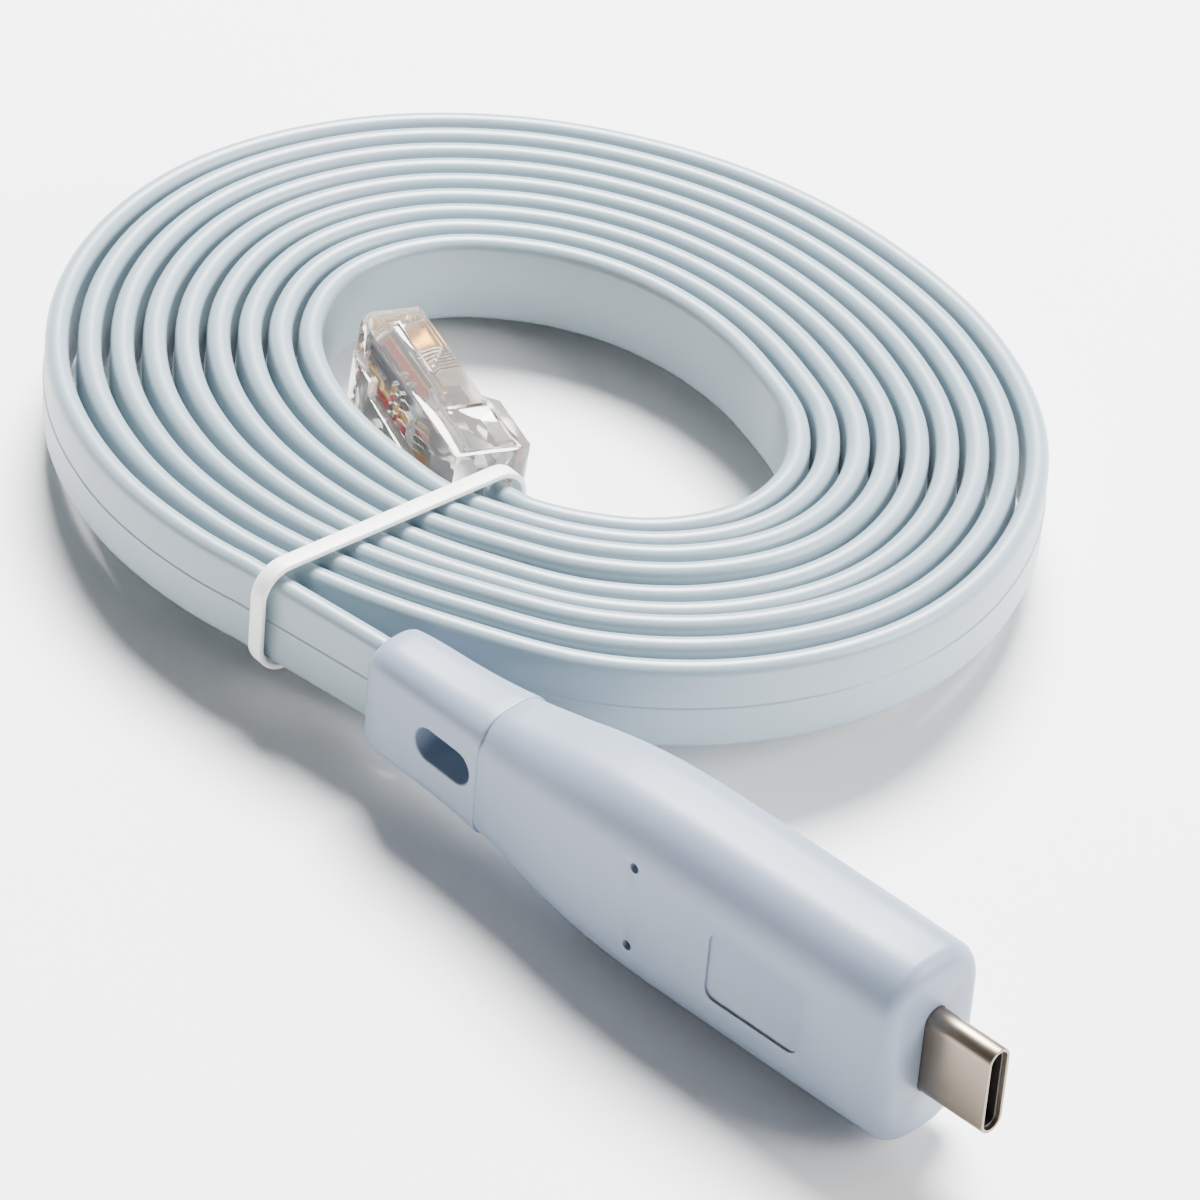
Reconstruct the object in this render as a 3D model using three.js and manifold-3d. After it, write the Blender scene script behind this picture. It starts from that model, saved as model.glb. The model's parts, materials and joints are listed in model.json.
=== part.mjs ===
// Console cable: a flat eight-core cable wound on edge, a clear RJ45 plug and a USB-C adapter.
// Millimetres, +Z up. The coil is drawn flat about its own centre and the whole is then laid down.

import * as THREE from 'three';
import { LoftGeometry } from 'three/addons/geometries/LoftGeometry.js';
import { mergeVertices } from 'three/addons/utils/BufferGeometryUtils.js';
import Module from 'manifold-3d';

const wasm = await Module();
wasm.setup();

// Driving sizes

const clearance = 0.3;

const cable = { width: 8.2, thickness: 2.1, edge: 0.55 };

// The coil's inner and outer faces, as distances from its centre, every 20 degrees round
const coil = {
  startAngle: -100,
  angleStep: 20,
  turns: 9,
  outerTurnEnd: 240,
  stepsPerReach: 2,
  groove: 0.55,
  inner: [14.1, 15.8, 18.1, 19.8, 20.0, 18.9, 17.3, 17.0, 17.6, 19.0, 20.9, 22.9, 23.3, 21.4, 18.4, 16.1, 15.1, 15.6],
  outer: [33.9, 37.0, 39.7, 41.6, 41.8, 41.1, 39.6, 38.4, 38.6, 39.7, 41.7, 43.8, 45.1, 44.6, 42.8, 40.1, 37.4, 35.6],
};

const adapter = {
  length: 61.4,
  seamAt: 15.8,
  seamGap: 0.3,
  yaw: -41.1,
  pitch: 0.7,
  back: [-12.98, -34.37, 3.83],
  nose: 1.6,
};

// Half height and half thickness of the adapter at distances from the boot's back
const adapterSections = [
  { at: 0, height: 5.2, thickness: 2.9 },
  { at: 5, height: 5.5, thickness: 3.2 },
  { at: 10, height: 5.6, thickness: 3.4 },
  { at: 15, height: 6.0, thickness: 3.8 },
  { at: 20, height: 6.8, thickness: 4.4 },
  { at: 25, height: 7.8, thickness: 5.0 },
  { at: 30, height: 8.5, thickness: 5.3 },
  { at: 36, height: 8.8, thickness: 5.4 },
  { at: adapter.length, height: 8.9, thickness: 5.4 },
];

const slot = { at: 11.6, length: 6.0, height: 3.0 };
const indicator = { at: 34.3, spacing: 7.8, diameter: 0.9, depth: 1.2 };
const label = { from: 42.6, to: 52.5, top: 2.9, bottom: -3.7, corner: 0.6, depth: 0.25 };

const usb = {
  width: 8.25,
  height: 2.4,
  wall: 0.3,
  reach: 6.65,
  buried: 5,
  floorAt: 1.5,
  linerPlay: 0.12,
  linerSetback: 0.4,
  mouthHeight: 0.94,
  mouthWidth: 6.7,
  mouthFloor: 3.2,
};

const plug = {
  length: 21.46,
  width: 11.68,
  rearHeight: 6.9,
  frontHeight: 5.7,
  rearChamfer: 0.5,
  stepFrom: 7.0,
  stepTo: 8.0,
  noseLength: 0.8,
  noseHeight: 1.2,
  yaw: 116.4,
  pitch: 0.3,
  roll: 5.4,
  rear: [-5.15, -10.83, 3.44],
  pocketLength: 10.5,
  insertion: 8.3,
};
const cores = { count: 8, pitch: 1.02, diameter: 0.9, play: 0.2, length: 9.4, top: 1.1 };
const contacts = { count: 8, pitch: 1.02, thickness: 0.32, length: 3.8, rise: 2.0, play: 0.14, fromFront: 1.2 };
const latch = { width: 6.0, length: 14.0, thickness: 1.0, root: 2.2, rootThickness: 0.6, lift: 1.7, sunk: 0.2 };

const tie = { width: 1.6, thickness: 0.5, play: 0.6, endPlay: 0.9, bend: 2.4, outerAngle: 233.3 };

// How the coil leans on its plug and adapter when the cable lies on a floor
const lean = -2.9;

// Small helpers

const radians = THREE.MathUtils.degToRad;
const vector = (x, y, z) => new THREE.Vector3(x, y, z);

function solid(geometry) {
  const bare = new THREE.BufferGeometry().copy(geometry);
  bare.deleteAttribute('normal');
  bare.deleteAttribute('uv');
  const merged = mergeVertices(bare, 1e-4);
  return new wasm.Manifold(new wasm.Mesh({
    numProp: 3,
    vertProperties: new Float32Array(merged.attributes.position.array),
    triVerts: new Uint32Array(merged.index.array),
  }));
}

function geometryOf(manifold) {
  const mesh = manifold.getMesh();
  const geometry = new THREE.BufferGeometry();
  geometry.setAttribute('position', new THREE.BufferAttribute(new Float32Array(mesh.vertProperties), 3));
  geometry.setIndex(new THREE.BufferAttribute(new Uint32Array(mesh.triVerts), 1));
  return geometry;
}

function piece(name, geometry, look) {
  const mesh = new THREE.Mesh(geometry, new THREE.MeshStandardMaterial(look));
  mesh.name = name;
  return mesh;
}

function box(sizeX, sizeY, sizeZ, x, y, z) {
  return new THREE.BoxGeometry(sizeX, sizeY, sizeZ).translate(x, y, z);
}

// A rounded rectangle in the plane across a sweep: side is to the right, up is upwards
function roundedSection(halfSide, halfUp, radius, cornerSteps) {
  const points = [];
  for (const [signSide, signUp, from] of [[1, 1, 0], [-1, 1, 90], [-1, -1, 180], [1, -1, 270]]) {
    for (let i = 0; i <= cornerSteps; i++) {
      const angle = radians(from + (90 * i) / cornerSteps);
      points.push([
        signSide * (halfSide - radius) + radius * Math.cos(angle),
        signUp * (halfUp - radius) + radius * Math.sin(angle),
      ]);
    }
  }
  return points;
}

// A rounded slab along X: an outline in side and up, with the given half sizes
function slab(length, halfSide, halfUp, radius, cornerSteps) {
  const outline = roundedSection(halfSide, halfUp, radius, cornerSteps);
  const ring = (x) => outline.map(([side, up]) => vector(x, side, up));
  return new LoftGeometry([ring(0), ring(length)], { capStart: true, capEnd: true });
}

// The coil

// Inner and outer reach with a run-on at both ends, where the turns move out by one pitch
function makeReach() {
  const { inner, outer } = coil;
  const last = inner.length - 1;
  const pitchAt = (i) => (outer[i] - inner[i] - cable.thickness) / (coil.turns - 1);
  const points = [];
  points.push(new THREE.Vector2(inner[last] - pitchAt(last), outer[last] - pitchAt(last)));
  inner.forEach((value, i) => points.push(new THREE.Vector2(value, outer[i])));
  for (let i = 0; i < 2; i++) {
    points.push(new THREE.Vector2(inner[i] + pitchAt(i), outer[i] + pitchAt(i)));
  }
  return new THREE.SplineCurve(points);
}

const reach = makeReach();
const reachSpans = coil.inner.length + 2;

// Distance of a turn's inner face from the coil's centre; turn may be a fraction
function faceRadius(angle, turn) {
  const span = (angle - coil.startAngle) / coil.angleStep + 1;
  const at = reach.getPoint(span / reachSpans);
  const pitch = (at.y - at.x - cable.thickness) / (coil.turns - 1);
  return at.x + turn * pitch;
}

// A point on the coil, rounded so that arcs that meet share their corners exactly
function onCoil(angle, radius, z) {
  const round = (value) => Math.round(value * 1000) / 1000;
  return vector(round(radius * Math.cos(radians(angle))), round(radius * Math.sin(radians(angle))), z);
}

// Part of the wound turns between two angles, with the grooves between turns on both ends
function coilArc(from, to, turns) {
  const steps = Math.round(((to - from) / coil.angleStep) * coil.stepsPerReach);
  const sections = [];
  for (let i = 0; i <= steps; i++) {
    const angle = from + ((to - from) * i) / steps;
    const top = [];
    const bottom = [];
    for (let turn = 0; turn < turns; turn++) {
      const inside = faceRadius(angle, turn);
      const next = faceRadius(angle, turn + 1);
      const outside = turn === turns - 1 ? inside + cable.thickness : next;
      for (const [radius, drop] of [
        [inside, coil.groove],
        [inside + coil.groove, 0],
        [outside - coil.groove, 0],
      ]) {
        top.push(onCoil(angle, radius, cable.width - drop));
        bottom.unshift(onCoil(angle, radius, drop));
      }
      if (turn === turns - 1) {
        top.push(onCoil(angle, outside, cable.width - coil.groove));
        bottom.unshift(onCoil(angle, outside, coil.groove));
      }
    }
    sections.push([...top, ...bottom]);
  }
  return solid(new LoftGeometry(sections, { capStart: true, capEnd: true }));
}

// Three arcs, each running one step into the next, close the ring
function makeCoil() {
  const start = coil.startAngle;
  const step = coil.angleStep / coil.stepsPerReach;
  const half = start + 180;
  const arcs = [
    coilArc(start, half + step, coil.turns),
    coilArc(half, coil.outerTurnEnd, coil.turns),
    coilArc(coil.outerTurnEnd - step, start + 360 + step, coil.turns - 1),
  ];
  return geometryOf(arcs.reduce((sum, arc) => sum.add(arc)));
}

// The free ends of the cable

// A flat strip standing on edge along a list of centre points. Each may carry the direction its
// width points in, and the side that its section is cut along where it meets the coil.
function flatCable(route) {
  const outline = roundedSection(cable.thickness / 2, cable.width / 2, cable.edge, 1);
  const last = route.length - 1;
  const sections = route.map(({ at, up = vector(0, 0, 1), cut }, i) => {
    const along = route[Math.min(i + 1, last)].at.clone().sub(route[Math.max(i - 1, 0)].at).normalize();
    const side = cut ?? up.clone().cross(along).normalize();
    const lift = cut ? up : along.clone().cross(side);
    return outline.map(([s, u]) => at.clone().addScaledVector(side, s).addScaledVector(lift, u));
  });
  return new LoftGeometry(sections, { capStart: true, capEnd: true });
}

function towardsCentre(angle) {
  return onCoil(angle, -1, 0);
}

// A point on the cable's middle line, a distance further on from an angle of one turn
function coilPoint(angle, turn, onward = 0) {
  const radius = faceRadius(angle, turn) + cable.thickness / 2;
  const there = angle + THREE.MathUtils.radToDeg(onward / radius);
  return onCoil(there, faceRadius(there, turn) + cable.thickness / 2, cable.width / 2);
}

// The adapter

function sectionAt(at) {
  const after = adapterSections.findIndex((section) => section.at >= at);
  const b = adapterSections[Math.max(after, 1)];
  const a = adapterSections[Math.max(after, 1) - 1];
  const t = (at - a.at) / (b.at - a.at);
  return {
    at,
    height: THREE.MathUtils.lerp(a.height, b.height, t),
    thickness: THREE.MathUtils.lerp(a.thickness, b.thickness, t),
  };
}

// A body lofted along X through rounded sections
function bodyThrough(sections, cornerSteps) {
  const rings = sections.map(({ at, height, thickness, inset = 0 }) => {
    const halfUp = height - inset;
    const halfSide = thickness - inset;
    const radius = Math.min(halfSide * 0.8, halfSide - 0.2);
    return roundedSection(halfSide, halfUp, radius, cornerSteps).map(([side, up]) => vector(at, side, up));
  });
  return solid(new LoftGeometry(rings, { capStart: true, capEnd: true }));
}

// Rounds the last edge of a body by stepping its sections in along a quarter circle
function roundedEnd(at, radius, direction) {
  return [0.12, 0.35, 0.65, 1].map((t) => {
    const angle = (Math.PI / 2) * t;
    const x = at - direction * radius * (1 - Math.sin(angle));
    return { ...sectionAt(x), inset: radius * (1 - Math.cos(angle)) };
  });
}

function makeBoot() {
  const end = adapter.seamAt - adapter.seamGap / 2;
  const back = 1.0;
  const middle = adapterSections.filter((section) => section.at > back && section.at < end);
  let body = bodyThrough([...roundedEnd(0, back, -1).reverse(), ...middle, sectionAt(end)], 4);
  const window = slab(4 * adapterSections[0].height, slot.length / 2, slot.height / 2, slot.height / 2 - 0.05, 4)
    .translate(-2 * adapterSections[0].height, 0, 0)
    .rotateZ(Math.PI / 2)
    .translate(slot.at, 0, 0);
  body = body.subtract(solid(window));
  return geometryOf(body);
}

// The pocket that the plug shell stands in, as deep as its buried length
function shellPocket(grow) {
  const side = usb.height / 2 + grow;
  const up = usb.width / 2 + grow;
  return slab(usb.buried + 1, side, up, side - 0.02, 4).translate(adapter.length - usb.buried - grow, 0, 0);
}

function makeHousing() {
  const start = adapter.seamAt + adapter.seamGap / 2;
  const end = adapter.length - adapter.nose;
  const middle = adapterSections.filter((section) => section.at > start && section.at < end);
  let body = bodyThrough([sectionAt(start), ...middle, ...roundedEnd(adapter.length, adapter.nose, 1)], 5);
  const face = -sectionAt(indicator.at).thickness;
  for (const side of [-1, 1]) {
    const hole = new THREE.CylinderGeometry(indicator.diameter / 2, indicator.diameter / 2, 2 * indicator.depth, 12)
      .translate(indicator.at, face, (side * indicator.spacing) / 2);
    body = body.subtract(solid(hole));
  }
  const labelHeight = label.top - label.bottom;
  const labelFace = -sectionAt(label.from).thickness;
  const panel = slab(2 * label.depth, (label.to - label.from) / 2, labelHeight / 2, label.corner, 3)
    .translate(-label.depth, 0, 0)
    .rotateZ(Math.PI / 2)
    .translate((label.from + label.to) / 2, labelFace, (label.top + label.bottom) / 2);
  body = body.subtract(solid(panel));
  body = body.subtract(solid(shellPocket(clearance / 2)));
  return geometryOf(body);
}

// The USB-C plug

function makeShell() {
  const side = usb.height / 2;
  const up = usb.width / 2;
  const from = adapter.length - usb.buried;
  const outer = slab(usb.buried + usb.reach, side, up, side - 0.02, 5).translate(from, 0, 0);
  const inside = side - usb.wall;
  const inner = slab(usb.buried + usb.reach, inside, up - usb.wall, inside - 0.02, 5).translate(from + usb.floorAt, 0, 0);
  return geometryOf(solid(outer).subtract(solid(inner)));
}

// Insulating liner: a closed back, a thin sleeve and the opening that takes the socket's tongue
function makeInsulator() {
  const inset = usb.wall + usb.linerPlay;
  const side = usb.height / 2 - inset;
  const up = usb.width / 2 - inset;
  const from = adapter.length - usb.buried + usb.floorAt + usb.linerPlay;
  const length = adapter.length + usb.reach - usb.linerSetback - from;
  const outer = slab(length, side, up, side - 0.02, 4).translate(from, 0, 0);
  const mouth = slab(length, usb.mouthHeight / 2, usb.mouthWidth / 2, 0.2, 2)
    .translate(from + usb.mouthFloor, 0, 0);
  return geometryOf(solid(outer).subtract(solid(mouth)));
}

// The RJ45 plug, drawn along X from its rear, width upwards, contacts on the -Y side

const plugLow = -plug.rearHeight / 2;
const plugHigh = plug.rearHeight / 2;
const contactFace = plugHigh - plug.frontHeight;

function plugOutline() {
  const shape = new THREE.Shape();
  shape.moveTo(0, plugLow + plug.rearChamfer);
  shape.lineTo(plug.rearChamfer, plugLow);
  shape.lineTo(plug.stepFrom, plugLow);
  shape.lineTo(plug.stepTo, contactFace);
  shape.lineTo(plug.length, contactFace);
  shape.lineTo(plug.length, plugHigh - plug.noseHeight);
  shape.lineTo(plug.length - plug.noseLength, plugHigh);
  shape.lineTo(0, plugHigh);
  shape.closePath();
  return shape;
}

// The lever springs from the plug's front and runs back over it, free at its rear end
function latchOutline() {
  const shape = new THREE.Shape();
  const face = plugHigh - latch.sunk;
  const front = plug.length - plug.noseHeight;
  const end = front - latch.length;
  const rootEnd = front - latch.root;
  shape.moveTo(front, face);
  shape.lineTo(front, face + latch.rootThickness);
  shape.lineTo(front - latch.thickness, face + latch.thickness);
  shape.lineTo(end, face + latch.lift);
  shape.lineTo(end, face + latch.lift - latch.thickness);
  shape.lineTo(rootEnd, plugHigh + 0.05);
  shape.lineTo(rootEnd, face);
  shape.closePath();
  return shape;
}

function extrudeAcross(shape, width) {
  const geometry = new THREE.ExtrudeGeometry(shape, { depth: width, bevelEnabled: false });
  return geometry.translate(0, 0, -width / 2);
}

// Conductors and contacts stand side by side across the plug's width
function acrossPlug(i, row) {
  return (i - (row.count - 1) / 2) * row.pitch;
}

const channelHeight = cores.diameter + 2 * cores.play;
const coreCentre = cores.top - channelHeight / 2;
const contactMiddle = plug.length - contacts.fromFront - contacts.length / 2;

function makePlugBody() {
  const pocket = box(plug.pocketLength + 1, cable.thickness + 2 * clearance, cable.width + 2 * clearance,
    (plug.pocketLength - 1) / 2, 0, 0);
  const channelLength = cores.length + cores.play;
  const channel = box(channelLength, channelHeight, cores.count * cores.pitch + cores.play,
    plug.pocketLength - cores.play + channelLength / 2, coreCentre, 0);
  let body = solid(extrudeAcross(plugOutline(), plug.width))
    .add(solid(extrudeAcross(latchOutline(), latch.width)))
    .subtract(solid(pocket))
    .subtract(solid(channel));
  const deep = contacts.rise + contacts.play;
  for (let i = 0; i < contacts.count; i++) {
    const cut = box(contacts.length + 2 * contacts.play, 2 * deep, contacts.thickness + 2 * contacts.play,
      contactMiddle, contactFace, acrossPlug(i, contacts));
    body = body.subtract(solid(cut));
  }
  return geometryOf(body);
}

function makeContact(i) {
  return box(contacts.length, contacts.rise, contacts.thickness,
    contactMiddle, contactFace + contacts.rise / 2, acrossPlug(i, contacts));
}

// One conductor, from just past the jacket's cut end to its place over its contact
function makeCore(i) {
  const radius = cores.diameter / 2;
  const from = plug.insertion + clearance;
  const length = plug.pocketLength + cores.length - cores.play - from;
  return new THREE.CylinderGeometry(radius, radius, length, 8)
    .rotateZ(Math.PI / 2)
    .translate(from + length / 2, coreCentre, acrossPlug(i, cores));
}

// The tie

// A flat band closed round the turns, lying along X with the given room inside
function makeTie(length) {
  const halfLength = length / 2;
  const halfHeight = cable.width / 2 + tie.play;
  const inside = roundedSection(halfLength, halfHeight, tie.bend, 4);
  const outside = roundedSection(halfLength + tie.thickness, halfHeight + tie.thickness, tie.bend + tie.thickness, 4);
  const shape = new THREE.Shape(outside.map(([x, y]) => new THREE.Vector2(x, y)));
  shape.holes.push(new THREE.Path(inside.map(([x, y]) => new THREE.Vector2(x, y)).reverse()));
  return new THREE.ExtrudeGeometry(shape, { depth: tie.width, bevelEnabled: false })
    .translate(0, 0, -tie.width / 2)
    .rotateX(Math.PI / 2);
}

// Looks

const jacketLook = { color: 0xb4c6ce, roughness: 0.42, metalness: 0 };
const overmouldLook = { color: 0xb3c0cd, roughness: 0.5, metalness: 0 };
const clearLook = { color: 0xd9d6d2, roughness: 0.12, metalness: 0, transparent: true, opacity: 0.45 };
const nickelLook = { color: 0x9a8f86, roughness: 0.3, metalness: 1 };
const goldLook = { color: 0xd0a24a, roughness: 0.25, metalness: 1 };
const coreColours = [0x7d8796, 0xc8743a, 0x5f8a58, 0x3b393f, 0xc23a48, 0xd9a638, 0x6b5a60, 0x584e58];

// Assembly

const adapterLies = new THREE.Group();
adapterLies.rotation.order = 'ZYX';
adapterLies.rotation.set(0, radians(adapter.pitch), radians(adapter.yaw));
adapterLies.position.set(...adapter.back);
adapterLies.add(
  piece('strain_relief_boot', makeBoot(), overmouldLook),
  piece('adapter_housing', makeHousing(), overmouldLook),
  piece('usb_c_shell', makeShell(), nickelLook),
  piece('usb_c_insulator', makeInsulator(), { color: 0x1c1c1e, roughness: 0.5, metalness: 0 }),
);

const plugLies = new THREE.Group();
plugLies.rotation.order = 'ZYX';
plugLies.rotation.set(radians(plug.roll), radians(plug.pitch), radians(plug.yaw));
plugLies.position.set(...plug.rear);
plugLies.add(piece('rj45_plug_body', makePlugBody(), clearLook));
for (let i = 0; i < contacts.count; i++) {
  plugLies.add(piece(`rj45_contact_${i + 1}`, makeContact(i), goldLook));
}
for (let i = 0; i < cores.count; i++) {
  plugLies.add(piece(`conductor_${i + 1}`, makeCore(i), { color: coreColours[i], roughness: 0.45, metalness: 0 }));
}

const backOfBoot = adapterLies.position.clone();
const alongAdapter = vector(1, 0, 0).applyEuler(adapterLies.rotation);
const alongPlug = vector(1, 0, 0).applyEuler(plugLies.rotation);

const plugUp = vector(0, 0, 1).applyEuler(plugLies.rotation);

// The free ends' centre points, chosen by hand
const tailRoute = [
  { at: coilPoint(coil.outerTurnEnd, coil.turns - 1, clearance), cut: towardsCentre(coil.outerTurnEnd) },
  { at: backOfBoot.clone().addScaledVector(alongAdapter, -2.6) },
  { at: backOfBoot.clone().addScaledVector(alongAdapter, -clearance) },
];
const leadRoute = [
  { at: plugLies.position.clone().addScaledVector(alongPlug, plug.insertion), up: plugUp },
  { at: plugLies.position.clone(), up: plugUp },
  { at: vector(-4.48, -12.17, 3.7), up: plugUp.clone().lerp(vector(0, 0, 1), 0.6).normalize() },
  { at: vector(-3.75, -13.6, 4.0) },
  { at: coilPoint(coil.startAngle, 0, -clearance), cut: towardsCentre(coil.startAngle) },
];

// The tie spans from the outermost turn to the lead
const tieFrom = coilPoint(tie.outerAngle, coil.turns - 1);
const tieTo = leadRoute[2].at.clone().lerp(leadRoute[3].at, 0.5).setZ(tieFrom.z);
const tieSpan = tieTo.clone().sub(tieFrom);
const tieLies = new THREE.Group();
tieLies.position.copy(tieFrom).lerp(tieTo, 0.5);
tieLies.rotation.z = Math.atan2(tieSpan.y, tieSpan.x);
const tieInside = tieSpan.length() + cable.thickness + 2 * tie.endPlay;
tieLies.add(piece('cable_tie', makeTie(tieInside), { color: 0xf1f1ee, roughness: 0.45, metalness: 0 }));

const flat = new THREE.Group();
flat.add(
  piece('cable_coil', makeCoil(), jacketLook),
  piece('cable_tail', flatCable(tailRoute), jacketLook),
  piece('cable_lead', flatCable(leadRoute), jacketLook),
  adapterLies,
  plugLies,
  tieLies,
);
flat.rotation.x = radians(lean);

// The origin is under the middle of everything, on the floor
const consoleCable = new THREE.Group();
consoleCable.add(flat);
consoleCable.updateMatrixWorld(true);
const bounds = new THREE.Box3().setFromObject(consoleCable, true);
flat.position.set(-(bounds.min.x + bounds.max.x) / 2, -(bounds.min.y + bounds.max.y) / 2, -bounds.min.z);
consoleCable.updateMatrixWorld(true);

export default consoleCable;
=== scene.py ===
"""Dresses the console cable: a tied coil of flat cable, a clear RJ45 plug and a USB-C adapter."""

from __future__ import annotations

import json
import logging
import math
from collections.abc import Callable, Iterable, Sequence
from dataclasses import dataclass
from enum import Enum

import bpy
from mathutils import Matrix, Vector

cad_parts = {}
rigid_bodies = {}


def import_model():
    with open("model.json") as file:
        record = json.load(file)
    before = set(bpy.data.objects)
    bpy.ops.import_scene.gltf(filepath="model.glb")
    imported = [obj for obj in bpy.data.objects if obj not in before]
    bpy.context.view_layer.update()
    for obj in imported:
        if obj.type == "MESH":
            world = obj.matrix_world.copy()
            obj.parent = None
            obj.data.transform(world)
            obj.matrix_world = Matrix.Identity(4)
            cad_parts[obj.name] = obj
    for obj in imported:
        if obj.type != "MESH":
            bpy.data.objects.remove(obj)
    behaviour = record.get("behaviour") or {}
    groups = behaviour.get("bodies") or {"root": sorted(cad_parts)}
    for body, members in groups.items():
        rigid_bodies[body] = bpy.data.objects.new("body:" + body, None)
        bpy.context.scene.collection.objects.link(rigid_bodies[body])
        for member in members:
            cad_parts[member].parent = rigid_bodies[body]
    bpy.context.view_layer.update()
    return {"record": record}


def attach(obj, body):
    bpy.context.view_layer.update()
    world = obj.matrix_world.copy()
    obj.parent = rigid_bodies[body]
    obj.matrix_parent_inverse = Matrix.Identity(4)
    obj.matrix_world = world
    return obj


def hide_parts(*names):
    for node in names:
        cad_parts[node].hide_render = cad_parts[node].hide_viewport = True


LOG = logging.getLogger("console_cable")
MM = 0.001
CLEARANCE = 0.3
# What keeps a rounding just short of half a side, in millimetres
HAIR = 0.02


# Frames


class Lie(Enum):
    """The three frames that the pieces are drawn in."""

    COIL = "coil"
    ADAPTER = "adapter"
    PLUG = "plug"


@dataclass(frozen=True)
class Frames:
    """Where the coil, the adapter and the plug lie; millimetres and degrees.

    The coil is drawn flat about its own centre and leans a little once it lies on the floor. The
    adapter and the plug are drawn along X and lie in the coil's frame.
    """

    lean: float = -2.9
    centre: tuple[float, float, float] = (1.036001, 19.238037, 3.155810)
    adapter_yaw: float = -41.1
    adapter_pitch: float = 0.7
    adapter_back: tuple[float, float, float] = (-12.98, -34.37, 3.83)
    plug_yaw: float = 116.4
    plug_pitch: float = 0.3
    plug_roll: float = 5.4
    plug_rear: tuple[float, float, float] = (-5.15, -10.83, 3.44)

    def inside_coil(self, lie: Lie) -> Matrix:
        """Give a frame's place in the coil's frame, in millimetres.

        Args:
            lie: The frame.

        Returns:
            The matrix that takes its points to the coil's frame.
        """
        if lie is Lie.ADAPTER:
            turn = turned("Z", self.adapter_yaw) @ turned("Y", self.adapter_pitch)
            return Matrix.Translation(Vector(self.adapter_back)) @ turn
        if lie is Lie.PLUG:
            turn = turned("Z", self.plug_yaw) @ turned("Y", self.plug_pitch)
            turn = turn @ turned("X", self.plug_roll)
            return Matrix.Translation(Vector(self.plug_rear)) @ turn
        return Matrix.Identity(4)

    def on_floor(self, lie: Lie) -> Matrix:
        """Give a frame's place on the floor, in metres.

        Args:
            lie: The frame.

        Returns:
            The matrix that takes its millimetre points to the object's own frame in metres.
        """
        down = Matrix.Translation(Vector(self.centre)) @ turned("X", self.lean)
        return Matrix.Scale(MM, 4) @ down @ self.inside_coil(lie)


def turned(axis: str, degrees: float) -> Matrix:
    """Return a rotation about X, Y or Z by an angle in degrees."""
    return Matrix.Rotation(math.radians(degrees), 4, axis)


FRAMES = Frames()


# Finishes


def linear(hex_colour: str) -> tuple[float, float, float, float]:
    """Turn an sRGB hex colour to linear values.

    Args:
        hex_colour: Six hex digits.

    Returns:
        Red, green, blue and an alpha of 1.
    """
    channels = [int(hex_colour[i : i + 2], 16) / 255 for i in (0, 2, 4)]
    red, green, blue = [c / 12.92 if c <= 0.04045 else ((c + 0.055) / 1.055) ** 2.4 for c in channels]
    return (red, green, blue, 1.0)


def add_node(tree: bpy.types.NodeTree, kind: str, **settings: object) -> bpy.types.Node:
    """Add a node with its settings and links.

    Args:
        tree: The node tree.
        kind: The node's type name.
        **settings: Values by attribute or input name; a socket given for an input is linked to it.

    Returns:
        The new node.
    """
    node = tree.nodes.new(kind)
    for name, value in settings.items():
        key = name.replace("_", " ")
        if hasattr(node, name):
            setattr(node, name, value)
        elif isinstance(value, bpy.types.NodeSocket):
            tree.links.new(value, node.inputs[key])
        else:
            node.inputs[key].default_value = value
    return node


@dataclass(frozen=True)
class Plastic:
    """A moulded or extruded plastic: a nearly even colour, a faint mottle and a fine bump.

    Attributes:
        name: What the material is.
        colour: Its sRGB hex colour.
        shade: The colour that the mottle goes to.
        roughness: How matt it is.
        ior: Its index of refraction.
        mottle_mm: Size of the mottle.
        grain_mm: Size of the surface's fine bump.
        grain_depth: How deep that bump looks, in metres.
        gloss_change: How far its roughness wanders either way.
        subsurface: How much light scatters inside it.
    """

    name: str
    colour: str
    shade: str
    roughness: float
    ior: float = 1.53
    mottle_mm: float = 14.0
    grain_mm: float = 0.35
    grain_depth: float = 0.00001
    gloss_change: float = 0.04
    subsurface: float = 0.0

    def make(self) -> bpy.types.Material:
        """Build the material.

        Returns:
            The node-based material.
        """
        material = bpy.data.materials.new(self.name)
        material.use_nodes = True
        tree = material.node_tree
        shader = tree.nodes["Principled BSDF"]
        place = add_node(tree, "ShaderNodeTexCoord").outputs["Object"]
        mottle_scale = 1 / (self.mottle_mm * MM)
        mottle = add_node(tree, "ShaderNodeTexNoise", Vector=place, Scale=mottle_scale, Detail=3.0)
        tint = add_node(tree, "ShaderNodeValToRGB", Fac=mottle.outputs["Fac"])
        tint.color_ramp.elements[0].position = 0.3
        tint.color_ramp.elements[0].color = linear(self.shade)
        tint.color_ramp.elements[1].position = 0.7
        tint.color_ramp.elements[1].color = linear(self.colour)
        tree.links.new(tint.outputs["Color"], shader.inputs["Base Color"])
        grain_scale = 1 / (self.grain_mm * MM)
        grain = add_node(tree, "ShaderNodeTexNoise", Vector=place, Scale=grain_scale, Detail=2.0)
        gloss = add_node(tree, "ShaderNodeMapRange", Value=grain.outputs["Fac"])
        gloss.inputs["To Min"].default_value = self.roughness - self.gloss_change
        gloss.inputs["To Max"].default_value = self.roughness + self.gloss_change
        tree.links.new(gloss.outputs["Result"], shader.inputs["Roughness"])
        height = grain.outputs["Fac"]
        bump = add_node(tree, "ShaderNodeBump", Height=height, Distance=self.grain_depth, Strength=1.0)
        tree.links.new(bump.outputs["Normal"], shader.inputs["Normal"])
        shader.inputs["IOR"].default_value = self.ior
        if self.subsurface:
            shader.inputs["Subsurface Weight"].default_value = self.subsurface
            shader.inputs["Subsurface Radius"].default_value = (1.0, 0.8, 0.7)
            shader.inputs["Subsurface Scale"].default_value = 0.6 * MM
        return material


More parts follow.
